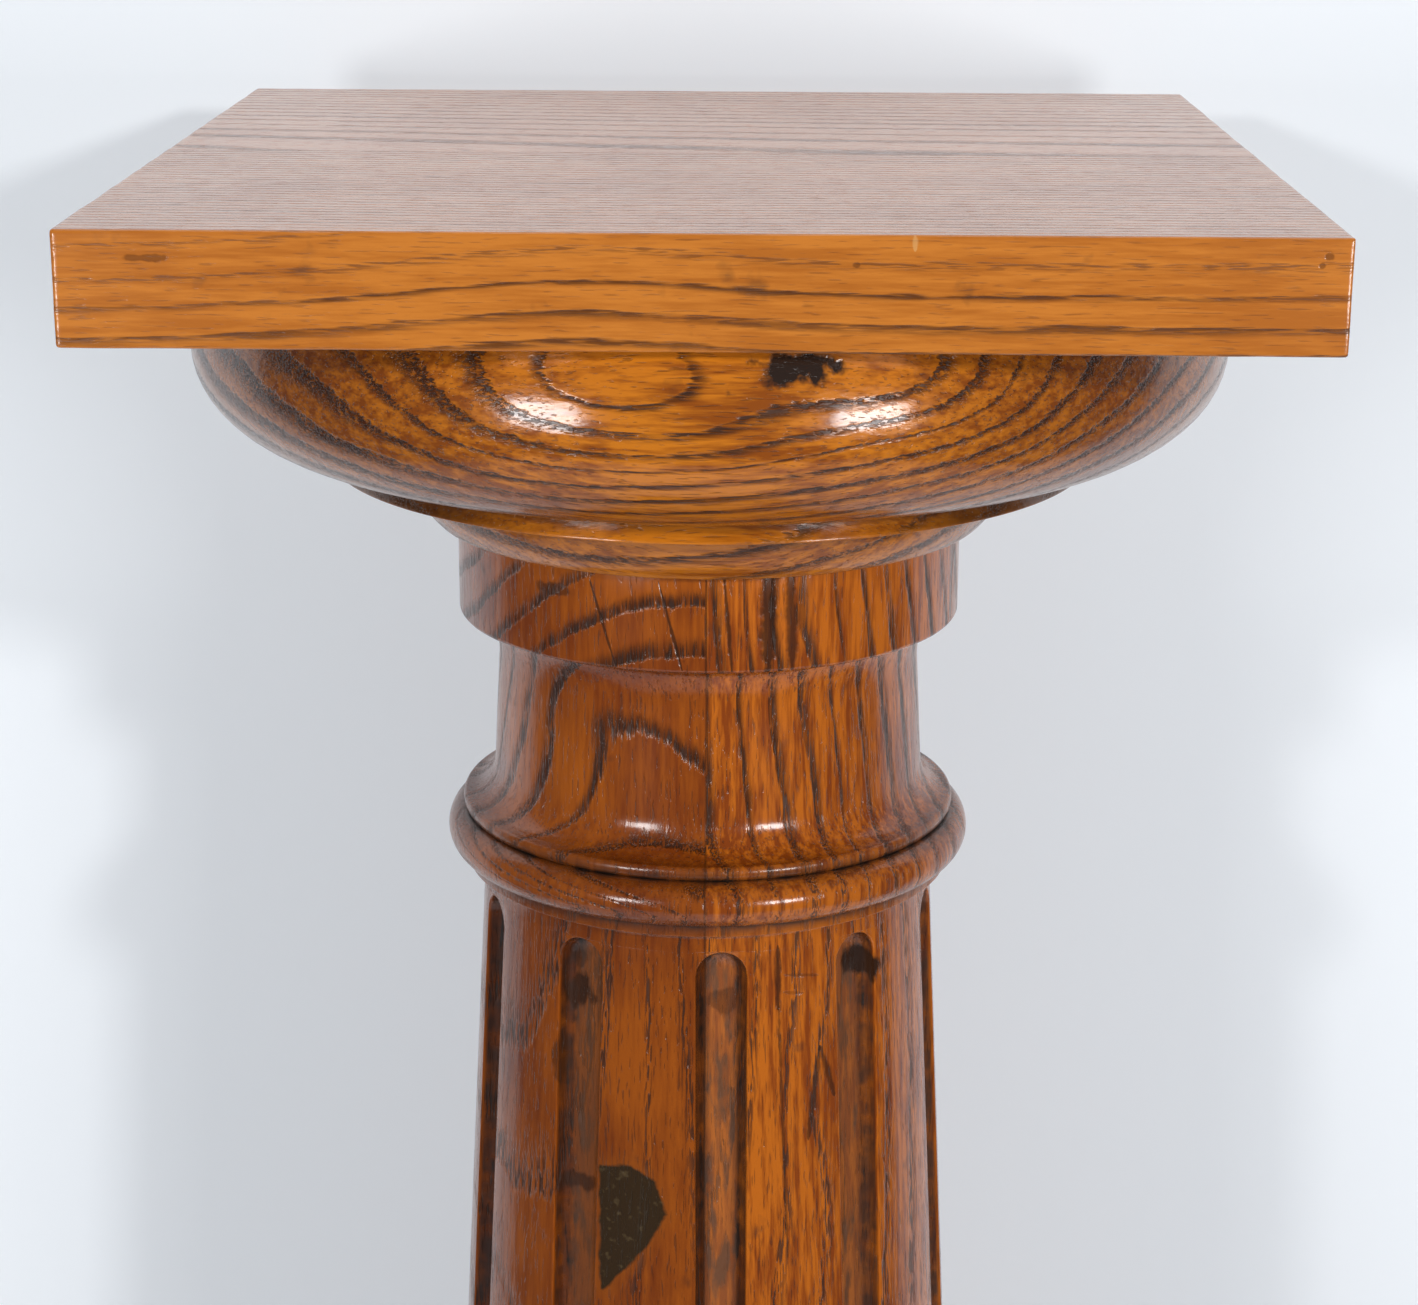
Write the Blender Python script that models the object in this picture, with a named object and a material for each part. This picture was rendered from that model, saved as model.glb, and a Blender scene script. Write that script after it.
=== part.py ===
"""Oak column: a square board on a turned capital, a tapering fluted shaft, a turned base and a plinth.

Metres, +Z up. The origin is at the middle of the plinth's underside. The front faces -Y, and the
grain of the board runs along X. Heights run down from the top of each piece, as a turner marks them
out, and each moulding projects from its neighbour by a named amount.
"""

import math

import bmesh
import bpy

# Fit of two pieces that touch
JOINT_GAP = 0.0003

# Tapering shaft between its necking and its foot
SHAFT_TOP_RADIUS = 0.0656
SHAFT_FOOT_RADIUS = 0.0970
TAPER_LENGTH = 0.6682
ENTASIS = 1.15
TAPER_STEPS = 8

# Flutes, round at the bottom and at both ends
FLUTE_COUNT = 10
FLUTE_WIDTH = 0.0144
FLUTE_DEPTH = 0.0065
FLUTE_TURN = math.radians(4.4)
FLUTE_TOP_MARGIN = 0.0040
FLUTE_FOOT_MARGIN = 0.0120
FLUTE_STATIONS = 8
FLUTE_NOSE_RINGS = 3
FLUTE_SIDES = 12

# Foot of the shaft: a flare down to a fillet
FOOT_FLARE = 0.0060
FOOT_FLARE_HEIGHT = 0.0080
FOOT_FILLET_STEP = 0.0012
FOOT_FILLET_HEIGHT = 0.0050

# Astragal at the top of the shaft: a listel with a flare under it, the round moulding, and a bead
LISTEL_PROJECTION = 0.0048
LISTEL_HEIGHT = 0.0036
LISTEL_FLARE_HEIGHT = 0.0025
ASTRAGAL_PROJECTION = 0.0057
ASTRAGAL_HEIGHT = 0.0130
BEAD_PROJECTION = 0.0012
BEAD_HEIGHT = 0.0040

# Necking: a waist with a cove at its foot and a flare under the collar
NECK_SLIMMING = 0.0051
NECK_TAPER = 0.0016
NECK_COVE_HEIGHT = 0.0110
NECK_WAIST_HEIGHT = 0.0310
NECK_FLARE = 0.0062
NECK_FLARE_HEIGHT = 0.0130

# Collar
COLLAR_OVERHANG = 0.0050
COLLAR_HEIGHT = 0.0277
COLLAR_ROUND = 0.0015

# Capital: an ovolo, a slightly flaring band that stands back under the bowl, and the bowl
OVOLO_OVERHANG = 0.0060
OVOLO_PROJECTION = 0.0088
OVOLO_HEIGHT = 0.0171
OVOLO_ARC = (-10.0, -55.0)
BAND_OVERHANG = 0.0205
BAND_COVE = 0.0020
BAND_COVE_HEIGHT = 0.0074
BAND_ARC = (180.0, 205.0)
BAND_EDGE = 0.0006
BOWL_EDGE_OVERHANG = 0.0170
BOWL_EDGE = 0.0014
BOWL_PROJECTION = 0.0203
BOWL_DEPTH = 0.0255
BOWL_ARC = (0.0, -63.0)
BOWL_SHOULDER = 0.0042
BOWL_SHOULDER_HEIGHT = 0.0220
BOWL_SHOULDER_ARC = (21.5, 0.0)

# Square board on top
BOARD_OVERHANG = 0.0057
BOARD_THICKNESS = 0.0278
BOARD_ARRIS = 0.0008

# Turned base: a fillet, a scotia, a second fillet, a large round moulding and a foot
BASE_SHOULDER = 0.0060
BASE_TOP_HEIGHT = 0.0050
SCOTIA_CUT = 0.0030
SCOTIA_PROJECTION = 0.0150
SCOTIA_HEIGHT = 0.0200
BASE_FILLET_STEP = 0.0015
BASE_FILLET_HEIGHT = 0.0060
TORUS_PROJECTION = 0.0160
TORUS_HEIGHT = 0.0440
BASE_FOOT_STEP = 0.0040
BASE_FOOT_HEIGHT = 0.0100

# Square plinth
PLINTH_MARGIN = 0.0065
PLINTH_HEIGHT = 0.0750
PLINTH_ARRIS = 0.0020

# Curves of a moulding, as the angles in degrees at which an upright ellipse starts and ends
ROUND_OVER = (90.0, 0.0)
ROUND_UNDER = (0.0, -90.0)
HOLLOW_IN = (90.0, 180.0)
HOLLOW_OUT = (180.0, 270.0)

# Facets round each turned piece
TURNED_SIDES = 48
SMOOTH_ANGLE = math.radians(32)

# Radii, each worked out from its neighbour
NECK_FOOT_RADIUS = SHAFT_TOP_RADIUS - NECK_SLIMMING + NECK_TAPER
NECK_RADIUS = SHAFT_TOP_RADIUS - NECK_SLIMMING
LISTEL_RADIUS = SHAFT_TOP_RADIUS + LISTEL_PROJECTION
ASTRAGAL_RADIUS = LISTEL_RADIUS + ASTRAGAL_PROJECTION
BEAD_RADIUS = LISTEL_RADIUS + BEAD_PROJECTION
NECK_TOP_RADIUS = NECK_RADIUS + NECK_FLARE
COLLAR_RADIUS = NECK_TOP_RADIUS + COLLAR_OVERHANG
OVOLO_FOOT_RADIUS = COLLAR_RADIUS + OVOLO_OVERHANG
OVOLO_TOP_RADIUS = OVOLO_FOOT_RADIUS + OVOLO_PROJECTION
BAND_RADIUS = OVOLO_TOP_RADIUS + BAND_OVERHANG
BOWL_EDGE_RADIUS = BAND_RADIUS + BOWL_EDGE_OVERHANG
BOWL_RADIUS = BOWL_EDGE_RADIUS + BOWL_PROJECTION
FOOT_RADIUS = SHAFT_FOOT_RADIUS + FOOT_FLARE + FOOT_FILLET_STEP
BASE_TOP_RADIUS = FOOT_RADIUS + BASE_SHOULDER
SCOTIA_TOP_RADIUS = BASE_TOP_RADIUS - SCOTIA_CUT
SCOTIA_FOOT_RADIUS = SCOTIA_TOP_RADIUS + SCOTIA_PROJECTION
BASE_FILLET_RADIUS = SCOTIA_FOOT_RADIUS + BASE_FILLET_STEP
TORUS_RADIUS = BASE_FILLET_RADIUS + TORUS_PROJECTION
BASE_FOOT_RADIUS = TORUS_RADIUS - BASE_FOOT_STEP

# Sides of the square pieces
BOARD_SIDE = 2 * (BOWL_RADIUS + BOARD_OVERHANG)
PLINTH_SIDE = 2 * (TORUS_RADIUS + PLINTH_MARGIN)

# Finishes: base colour, roughness
PALE_OAK = ((0.56, 0.24, 0.075, 1.0), 0.30)
RED_OAK = ((0.40, 0.145, 0.035, 1.0), 0.22)


def clear_scene():
    for thing in list(bpy.data.objects):
        bpy.data.objects.remove(thing, do_unlink=True)


def oak(name, finish):
    """A varnished oak material."""
    colour, roughness = finish
    material = bpy.data.materials.new(name)
    material.use_nodes = True
    shader = material.node_tree.nodes["Principled BSDF"]
    shader.inputs["Base Color"].default_value = colour
    shader.inputs["Roughness"].default_value = roughness
    shader.inputs["Metallic"].default_value = 0.0
    return material


def add_object(name, mesh, material=None):
    thing = bpy.data.objects.new(name, mesh)
    bpy.context.scene.collection.objects.link(thing)
    if material is not None:
        mesh.materials.append(material)
    return thing


def arc(start, end, angles, steps):
    """Points of the upright ellipse through both ends, whose angle runs between these two.

    The start is left out, because the outline already holds it.
    """
    first, last = (math.radians(angle) for angle in angles)
    wide = (end[0] - start[0]) / (math.cos(last) - math.cos(first))
    tall = (end[1] - start[1]) / (math.sin(last) - math.sin(first))
    points = []
    for step in range(1, steps + 1):
        angle = first + (last - first) * step / steps
        radius = start[0] + wide * (math.cos(angle) - math.cos(first))
        height = start[1] + tall * (math.sin(angle) - math.sin(first))
        points.append((radius, height))
    return points


class Outline:
    """A turned outline as a list of (radius, height), drawn from the top down."""

    def __init__(self, radius):
        self.points = [(0.0, 0.0), (radius, 0.0)]

    def straight(self, radius, drop):
        self.points.append((radius, self.points[-1][1] - drop))

    def curve(self, radius, drop, angles, steps):
        start = self.points[-1]
        end = (radius, start[1] - drop)
        self.points.extend(arc(start, end, angles, steps))

    def close(self):
        self.points.append((0.0, self.points[-1][1]))

    def height(self):
        return -self.points[-1][1]


def taper_radius(share):
    """Radius of the tapering shaft at this share of its length, from the top."""
    swell = 1 - (1 - share) ** ENTASIS
    return SHAFT_TOP_RADIUS + (SHAFT_FOOT_RADIUS - SHAFT_TOP_RADIUS) * swell


def shaft_outline():
    """Returns the outline and the drop from its top to the start of the taper."""
    outline = Outline(COLLAR_RADIUS)
    outline.straight(COLLAR_RADIUS, COLLAR_HEIGHT - COLLAR_ROUND)
    outline.curve(COLLAR_RADIUS - COLLAR_ROUND, COLLAR_ROUND, ROUND_UNDER, 2)
    outline.straight(NECK_TOP_RADIUS, 0.0)
    outline.curve(NECK_RADIUS, NECK_FLARE_HEIGHT, HOLLOW_IN, 4)
    outline.straight(NECK_FOOT_RADIUS, NECK_WAIST_HEIGHT)
    outline.curve(LISTEL_RADIUS, NECK_COVE_HEIGHT, HOLLOW_OUT, 4)
    outline.curve(BEAD_RADIUS, BEAD_HEIGHT / 2, ROUND_OVER, 2)
    outline.curve(LISTEL_RADIUS, BEAD_HEIGHT / 2, ROUND_UNDER, 2)
    outline.curve(ASTRAGAL_RADIUS, ASTRAGAL_HEIGHT / 2, ROUND_OVER, 4)
    outline.curve(LISTEL_RADIUS, ASTRAGAL_HEIGHT / 2, ROUND_UNDER, 4)
    outline.straight(LISTEL_RADIUS, LISTEL_HEIGHT)
    outline.curve(SHAFT_TOP_RADIUS, LISTEL_FLARE_HEIGHT, HOLLOW_IN, 3)
    taper_start = outline.height()
    for step in range(1, TAPER_STEPS + 1):
        outline.straight(taper_radius(step / TAPER_STEPS), TAPER_LENGTH / TAPER_STEPS)
    outline.curve(SHAFT_FOOT_RADIUS + FOOT_FLARE, FOOT_FLARE_HEIGHT, HOLLOW_OUT, 3)
    outline.straight(FOOT_RADIUS, 0.0)
    outline.straight(FOOT_RADIUS, FOOT_FILLET_HEIGHT)
    outline.close()
    return outline, taper_start


def capital_outline():
    outline = Outline(BOWL_RADIUS - BOWL_SHOULDER)
    outline.curve(BOWL_RADIUS, BOWL_SHOULDER_HEIGHT, BOWL_SHOULDER_ARC, 3)
    outline.curve(BOWL_EDGE_RADIUS, BOWL_DEPTH, BOWL_ARC, 6)
    outline.straight(BAND_RADIUS - BAND_COVE, BOWL_EDGE)
    outline.curve(BAND_RADIUS, BAND_COVE_HEIGHT, BAND_ARC, 3)
    outline.straight(BAND_RADIUS, BAND_EDGE)
    outline.straight(OVOLO_TOP_RADIUS, 0.0)
    outline.curve(OVOLO_FOOT_RADIUS, OVOLO_HEIGHT, OVOLO_ARC, 4)
    outline.close()
    return outline


def base_outline():
    outline = Outline(BASE_TOP_RADIUS)
    outline.straight(BASE_TOP_RADIUS, BASE_TOP_HEIGHT)
    outline.straight(SCOTIA_TOP_RADIUS, 0.0)
    outline.curve(SCOTIA_FOOT_RADIUS, SCOTIA_HEIGHT, HOLLOW_OUT, 4)
    outline.straight(BASE_FILLET_RADIUS, 0.0)
    outline.straight(BASE_FILLET_RADIUS, BASE_FILLET_HEIGHT)
    outline.curve(TORUS_RADIUS, TORUS_HEIGHT / 2, ROUND_OVER, 3)
    outline.curve(BASE_FOOT_RADIUS, TORUS_HEIGHT / 2, ROUND_UNDER, 3)
    outline.straight(BASE_FOOT_RADIUS, BASE_FOOT_HEIGHT)
    outline.close()
    return outline


def turned(name, outline, top, material):
    """One solid of revolution, with its top face at height top."""
    model = bmesh.new()
    verts = [model.verts.new((radius, 0.0, top + height)) for radius, height in outline.points]
    edges = [model.edges.new(pair) for pair in zip(verts, verts[1:])]
    bmesh.ops.spin(
        model,
        geom=verts + edges,
        cent=(0.0, 0.0, 0.0),
        axis=(0.0, 0.0, 1.0),
        angle=math.tau,
        steps=TURNED_SIDES,
        use_merge=True,
    )
    bmesh.ops.remove_doubles(model, verts=model.verts, dist=1e-6)
    bmesh.ops.recalc_face_normals(model, faces=model.faces)
    mesh = bpy.data.meshes.new(name)
    model.to_mesh(mesh)
    model.free()
    mesh.shade_smooth()
    mesh.set_sharp_from_angle(angle=SMOOTH_ANGLE)
    return add_object(name, mesh, material)


def square_block(name, side, thickness, arris, bottom, material):
    """A square board whose underside is at height bottom, its edges eased."""
    model = bmesh.new()
    bmesh.ops.create_cube(model, size=1.0)
    bmesh.ops.scale(model, vec=(side, side, thickness), verts=model.verts)
    bmesh.ops.translate(model, vec=(0.0, 0.0, bottom + thickness / 2), verts=model.verts)
    mesh = bpy.data.meshes.new(name)
    model.to_mesh(mesh)
    model.free()
    block = add_object(name, mesh, material)
    easing = block.modifiers.new("eased edges", "BEVEL")
    easing.width = arris
    easing.segments = 2
    return block


def flute_stations():
    """(share of the taper, cutter radius) down one flute, between its two pointed ends."""
    cutter = FLUTE_WIDTH / 2
    start = FLUTE_TOP_MARGIN + cutter
    end = TAPER_LENGTH - FLUTE_FOOT_MARGIN - cutter
    noses = [math.radians(90 * ring / FLUTE_NOSE_RINGS) for ring in range(1, FLUTE_NOSE_RINGS)]
    stations = [(start - cutter * math.cos(turn), cutter * math.sin(turn)) for turn in noses]
    for step in range(FLUTE_STATIONS + 1):
        stations.append((start + (end - start) * step / FLUTE_STATIONS, cutter))
    for turn in reversed(noses):
        stations.append((end + cutter * math.cos(turn), cutter * math.sin(turn)))
    return [(drop / TAPER_LENGTH, radius) for drop, radius in stations]


def flute_cutters(taper_top):
    """One round-ended bar for each flute, leaning with the shaft, all in one mesh."""
    proud = FLUTE_WIDTH / 2 - FLUTE_DEPTH
    ends = (FLUTE_TOP_MARGIN / TAPER_LENGTH, 1 - FLUTE_FOOT_MARGIN / TAPER_LENGTH)
    model = bmesh.new()
    for flute in range(FLUTE_COUNT):
        bearing = FLUTE_TURN - math.pi / 2 + math.tau * flute / FLUTE_COUNT

        def place(share, out, across):
            reach = taper_radius(share) + proud + out
            x = reach * math.cos(bearing) - across * math.sin(bearing)
            y = reach * math.sin(bearing) + across * math.cos(bearing)
            return model.verts.new((x, y, taper_top - share * TAPER_LENGTH))

        rings = []
        for share, radius in flute_stations():
            turns = [math.tau * side / FLUTE_SIDES for side in range(FLUTE_SIDES)]
            rings.append([place(share, radius * math.cos(t), radius * math.sin(t)) for t in turns])
        for upper, lower in zip(rings, rings[1:]):
            for side in range(FLUTE_SIDES):
                after = (side + 1) % FLUTE_SIDES
                model.faces.new((upper[side], lower[side], lower[after], upper[after]))
        for ring, share in ((rings[0], ends[0]), (rings[-1], ends[1])):
            tip = place(share, 0.0, 0.0)
            for side in range(FLUTE_SIDES):
                model.faces.new((ring[side], ring[(side + 1) % FLUTE_SIDES], tip))
    bmesh.ops.recalc_face_normals(model, faces=model.faces)
    mesh = bpy.data.meshes.new("flute_cutters")
    model.to_mesh(mesh)
    model.free()
    mesh.shade_smooth()
    cutters = add_object("flute_cutters", mesh)
    cutters.hide_render = True
    cutters.display_type = "WIRE"
    return cutters


def build():
    clear_scene()
    pale_oak = oak("pale_oak", PALE_OAK)
    red_oak = oak("red_oak", RED_OAK)

    square_block("plinth", PLINTH_SIDE, PLINTH_HEIGHT, PLINTH_ARRIS, 0.0, red_oak)
    base = base_outline()
    base_top = PLINTH_HEIGHT + JOINT_GAP + base.height()
    turned("base_moulding", base, base_top, red_oak)

    shaft, taper_start = shaft_outline()
    shaft_top = base_top + JOINT_GAP + shaft.height()
    column = turned("shaft", shaft, shaft_top, red_oak)
    flutes = column.modifiers.new("flutes", "BOOLEAN")
    flutes.operation = "DIFFERENCE"
    flutes.object = flute_cutters(shaft_top - taper_start)

    capital = capital_outline()
    capital_top = shaft_top + JOINT_GAP + capital.height()
    turned("capital", capital, capital_top, red_oak)
    board_bottom = capital_top + JOINT_GAP
    square_block("top_plate", BOARD_SIDE, BOARD_THICKNESS, BOARD_ARRIS, board_bottom, pale_oak)


build()
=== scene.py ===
"""A turned and fluted oak column with a square board on top, dressed for the camera.

Metres, +Z up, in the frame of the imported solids. The front faces -Y, and the grain of the board and
of the capital runs along X, that of the shaft along Z.
"""

import math

import bmesh
import bpy
import numpy as np
from mathutils import Matrix, Vector, noise


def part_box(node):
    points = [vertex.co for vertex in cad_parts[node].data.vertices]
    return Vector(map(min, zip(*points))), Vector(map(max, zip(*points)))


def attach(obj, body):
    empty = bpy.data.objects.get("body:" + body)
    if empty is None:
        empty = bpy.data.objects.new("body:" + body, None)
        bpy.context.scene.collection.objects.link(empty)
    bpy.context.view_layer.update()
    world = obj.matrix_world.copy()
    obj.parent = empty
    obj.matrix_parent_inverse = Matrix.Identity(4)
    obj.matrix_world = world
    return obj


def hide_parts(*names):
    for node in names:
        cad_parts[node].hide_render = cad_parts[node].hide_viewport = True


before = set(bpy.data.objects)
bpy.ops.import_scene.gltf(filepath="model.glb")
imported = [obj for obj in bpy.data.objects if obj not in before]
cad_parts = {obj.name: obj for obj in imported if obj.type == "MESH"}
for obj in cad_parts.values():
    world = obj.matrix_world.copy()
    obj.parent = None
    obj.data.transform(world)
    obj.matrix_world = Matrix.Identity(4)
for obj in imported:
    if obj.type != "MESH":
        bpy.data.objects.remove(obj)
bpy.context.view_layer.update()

# Camera, as fitted to the board's corners and the shaft's axis
CAMERA_PLACE = (0.0128, -0.8398, 1.1568)
CAMERA_YAW = math.radians(-0.860)
CAMERA_PITCH = math.radians(16.703)
CAMERA_ROLL = math.radians(0.266)
CAMERA_LENS = 76.58
SENSOR_WIDTH = 36.0

# Stage: the wall stands this far behind the column's axis
WALL_PLACE = 0.20
WALL_HEIGHT = 2.0
STAGE_REACH = 0.9
FLOOR_FRONT = -1.2

# Colours of the backdrop paper, its glow and the room
PAPER = (0.76, 0.79, 0.82, 1.0)
PAPER_GLOW = (0.86, 0.93, 1.0, 1.0)
WALL_GLOW = 0.21
ROOM = (0.80, 0.88, 1.0, 1.0)
ROOM_LIGHT = 0.12
ROOM_SEEN = 0.72

# Lights look at this place from this distance, the softboxes from below the keys
LIT_PLACE = (0.0, 0.0, 1.0)
LAMP_DISTANCE = 1.5
LEFT_AZIMUTH = -32
RIGHT_AZIMUTH = 32.5
SOFTBOX_LIFT = -2
SOFTBOX_SIZE = (0.37, 0.26)
KEY_LIFT = 15.5
KEY_SIZE = (0.10, 0.10)

# Tapering shaft between its necking and its foot
SHAFT_TOP_RADIUS = 0.0656
SHAFT_FOOT_RADIUS = 0.0970
TAPER_LENGTH = 0.6682
ENTASIS = 1.15

# Flutes, with a round bottom and round ends
FLUTE_COUNT = 10
FLUTE_WIDTH = 0.0144
FLUTE_DEPTH = 0.0065
FLUTE_TURN = math.radians(4.4)
FLUTE_TOP_MARGIN = 0.0040
FLUTE_FOOT_MARGIN = 0.0120
FLUTE_LIP = 0.0005
FLUTE_ROUNDNESS = 2.4
# Columns of points per flute, those of its hollow, and those of the hollow and both lips
FLUTE_STEPS = 26
HOLLOW_STEPS = 14
LIP_STEPS = 20
# Distance past a nose at which the columns stand evenly again
EVEN_AGAIN = 0.012

# Foot of the shaft: a flare down to a fillet
FOOT_FLARE = 0.0060
FOOT_FLARE_HEIGHT = 0.0080
FOOT_FILLET_STEP = 0.0012
FOOT_FILLET_HEIGHT = 0.0050

# Astragal at the top of the shaft: a listel with a flare under it, the round moulding, and a bead
LISTEL_PROJECTION = 0.0048
LISTEL_HEIGHT = 0.0036
LISTEL_FLARE_HEIGHT = 0.0025
ASTRAGAL_PROJECTION = 0.0057
ASTRAGAL_HEIGHT = 0.0130
BEAD_PROJECTION = 0.0012
BEAD_HEIGHT = 0.0040

# Necking: a waist with a cove at its foot and a flare under the collar
NECK_SLIMMING = 0.0051
NECK_TAPER = 0.0016
NECK_COVE_HEIGHT = 0.0110
NECK_WAIST_HEIGHT = 0.0310
NECK_FLARE = 0.0062
NECK_FLARE_HEIGHT = 0.0130

# Collar
COLLAR_OVERHANG = 0.0050
COLLAR_HEIGHT = 0.0277
COLLAR_ROUND = 0.0015

# Capital: an ovolo, a slightly flaring band that stands back under the bowl, and the bowl
OVOLO_OVERHANG = 0.0060
OVOLO_PROJECTION = 0.0088
OVOLO_HEIGHT = 0.0171
OVOLO_ARC = (-10.0, -55.0)
BAND_OVERHANG = 0.0205
BAND_COVE = 0.0020
BAND_COVE_HEIGHT = 0.0074
BAND_ARC = (180.0, 205.0)
BAND_EDGE = 0.0006
BOWL_EDGE_OVERHANG = 0.0170
BOWL_EDGE = 0.0014
BOWL_PROJECTION = 0.0203
BOWL_DEPTH = 0.0255
BOWL_ARC = (0.0, -63.0)
BOWL_SHOULDER = 0.0042
BOWL_SHOULDER_HEIGHT = 0.0220
BOWL_SHOULDER_ARC = (21.5, 0.0)

# Turned base: a fillet, a scotia, a second fillet, a large round moulding and a foot
BASE_SHOULDER = 0.0060
BASE_TOP_HEIGHT = 0.0050
SCOTIA_CUT = 0.0030
SCOTIA_PROJECTION = 0.0150
SCOTIA_HEIGHT = 0.0200
BASE_FILLET_STEP = 0.0015
BASE_FILLET_HEIGHT = 0.0060
TORUS_PROJECTION = 0.0160
TORUS_HEIGHT = 0.0440
BASE_FOOT_STEP = 0.0040
BASE_FOOT_HEIGHT = 0.0100

# Curves of a moulding, as the angles in degrees at which an upright ellipse starts and ends
ROUND_OVER = (90.0, 0.0)
ROUND_UNDER = (0.0, -90.0)
HOLLOW_IN = (90.0, 180.0)
HOLLOW_OUT = (180.0, 270.0)
CURVE_STEPS = 10

# Radii, each worked out from its neighbour
NECK_RADIUS = SHAFT_TOP_RADIUS - NECK_SLIMMING
NECK_FOOT_RADIUS = NECK_RADIUS + NECK_TAPER
LISTEL_RADIUS = SHAFT_TOP_RADIUS + LISTEL_PROJECTION
ASTRAGAL_RADIUS = LISTEL_RADIUS + ASTRAGAL_PROJECTION
BEAD_RADIUS = LISTEL_RADIUS + BEAD_PROJECTION
NECK_TOP_RADIUS = NECK_RADIUS + NECK_FLARE
COLLAR_RADIUS = NECK_TOP_RADIUS + COLLAR_OVERHANG
OVOLO_FOOT_RADIUS = COLLAR_RADIUS + OVOLO_OVERHANG
OVOLO_TOP_RADIUS = OVOLO_FOOT_RADIUS + OVOLO_PROJECTION
BAND_RADIUS = OVOLO_TOP_RADIUS + BAND_OVERHANG
BOWL_EDGE_RADIUS = BAND_RADIUS + BOWL_EDGE_OVERHANG
BOWL_RADIUS = BOWL_EDGE_RADIUS + BOWL_PROJECTION
FOOT_RADIUS = SHAFT_FOOT_RADIUS + FOOT_FLARE + FOOT_FILLET_STEP
BASE_TOP_RADIUS = FOOT_RADIUS + BASE_SHOULDER
SCOTIA_TOP_RADIUS = BASE_TOP_RADIUS - SCOTIA_CUT
SCOTIA_FOOT_RADIUS = SCOTIA_TOP_RADIUS + SCOTIA_PROJECTION
BASE_FILLET_RADIUS = SCOTIA_FOOT_RADIUS + BASE_FILLET_STEP
TORUS_RADIUS = BASE_FILLET_RADIUS + TORUS_PROJECTION
BASE_FOOT_RADIUS = TORUS_RADIUS - BASE_FOOT_STEP


def arc(start, end, angles, steps):
    """Points of the upright ellipse through both ends, whose angle runs between these two."""
    first, last = (math.radians(angle) for angle in angles)
    wide = (end[0] - start[0]) / (math.cos(last) - math.cos(first))
    tall = (end[1] - start[1]) / (math.sin(last) - math.sin(first))
    points = []
    for step in range(1, steps + 1):
        angle = first + (last - first) * step / steps
        radius = start[0] + wide * (math.cos(angle) - math.cos(first))
        height = start[1] + tall * (math.sin(angle) - math.sin(first))
        points.append((radius, height))
    return points


class Outline:
    """A turned outline as a list of (radius, height), drawn from the top down."""

    def __init__(self, radius):
        self.points = [(0.0, 0.0), (radius, 0.0)]

    def straight(self, radius, drop):
        self.points.append((radius, self.points[-1][1] - drop))

    def curve(self, radius, drop, angles):
        start = self.points[-1]
        end = (radius, start[1] - drop)
        self.points.extend(arc(start, end, angles, CURVE_STEPS))

    def close(self):
        self.points.append((0.0, self.points[-1][1]))

    def height(self):
        return -self.points[-1][1]


def taper_radius(share):
    """Radius of the tapering shaft at this share of its length, from the top."""
    swell = 1 - (1 - share) ** ENTASIS
    return SHAFT_TOP_RADIUS + (SHAFT_FOOT_RADIUS - SHAFT_TOP_RADIUS) * swell


def taper_drops():
    """Drops below the top of the taper at which the fluted shaft has a ring of points."""
    reach = FLUTE_WIDTH / 2
    upper = FLUTE_TOP_MARGIN + reach
    lower = TAPER_LENGTH - FLUTE_FOOT_MARGIN - reach
    nose = [reach * math.sin(math.radians(turn)) for turn in (20, 38, 52, 64, 74, 81, 86, 90)]
    nose += [reach + FLUTE_LIP * share for share in (0.35, 0.7, 1.0)]
    straight = list(np.linspace(upper, lower, 96))
    drops = [upper - step for step in reversed(nose)] + straight + [lower + step for step in nose]
    return drops + [TAPER_LENGTH - FLUTE_FOOT_MARGIN / 2, TAPER_LENGTH]


def shaft_outline():
    """Returns the outline and the drop from its top to the start of the taper."""
    outline = Outline(COLLAR_RADIUS)
    outline.straight(COLLAR_RADIUS, COLLAR_HEIGHT - COLLAR_ROUND)
    outline.curve(COLLAR_RADIUS - COLLAR_ROUND, COLLAR_ROUND, ROUND_UNDER)
    outline.straight(NECK_TOP_RADIUS, 0.0)
    outline.curve(NECK_RADIUS, NECK_FLARE_HEIGHT, HOLLOW_IN)
    outline.straight(NECK_FOOT_RADIUS, NECK_WAIST_HEIGHT)
    outline.curve(LISTEL_RADIUS, NECK_COVE_HEIGHT, HOLLOW_OUT)
    outline.curve(BEAD_RADIUS, BEAD_HEIGHT / 2, ROUND_OVER)
    outline.curve(LISTEL_RADIUS, BEAD_HEIGHT / 2, ROUND_UNDER)
    outline.curve(ASTRAGAL_RADIUS, ASTRAGAL_HEIGHT / 2, ROUND_OVER)
    outline.curve(LISTEL_RADIUS, ASTRAGAL_HEIGHT / 2, ROUND_UNDER)
    outline.straight(LISTEL_RADIUS, LISTEL_HEIGHT)
    outline.curve(SHAFT_TOP_RADIUS, LISTEL_FLARE_HEIGHT, HOLLOW_IN)
    taper_start = outline.height()
    reached = 0.0
    for drop in taper_drops():
        outline.straight(taper_radius(drop / TAPER_LENGTH), drop - reached)
        reached = drop
    outline.curve(SHAFT_FOOT_RADIUS + FOOT_FLARE, FOOT_FLARE_HEIGHT, HOLLOW_OUT)
    outline.straight(FOOT_RADIUS, 0.0)
    outline.straight(FOOT_RADIUS, FOOT_FILLET_HEIGHT)
    outline.close()
    return outline, taper_start


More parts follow.
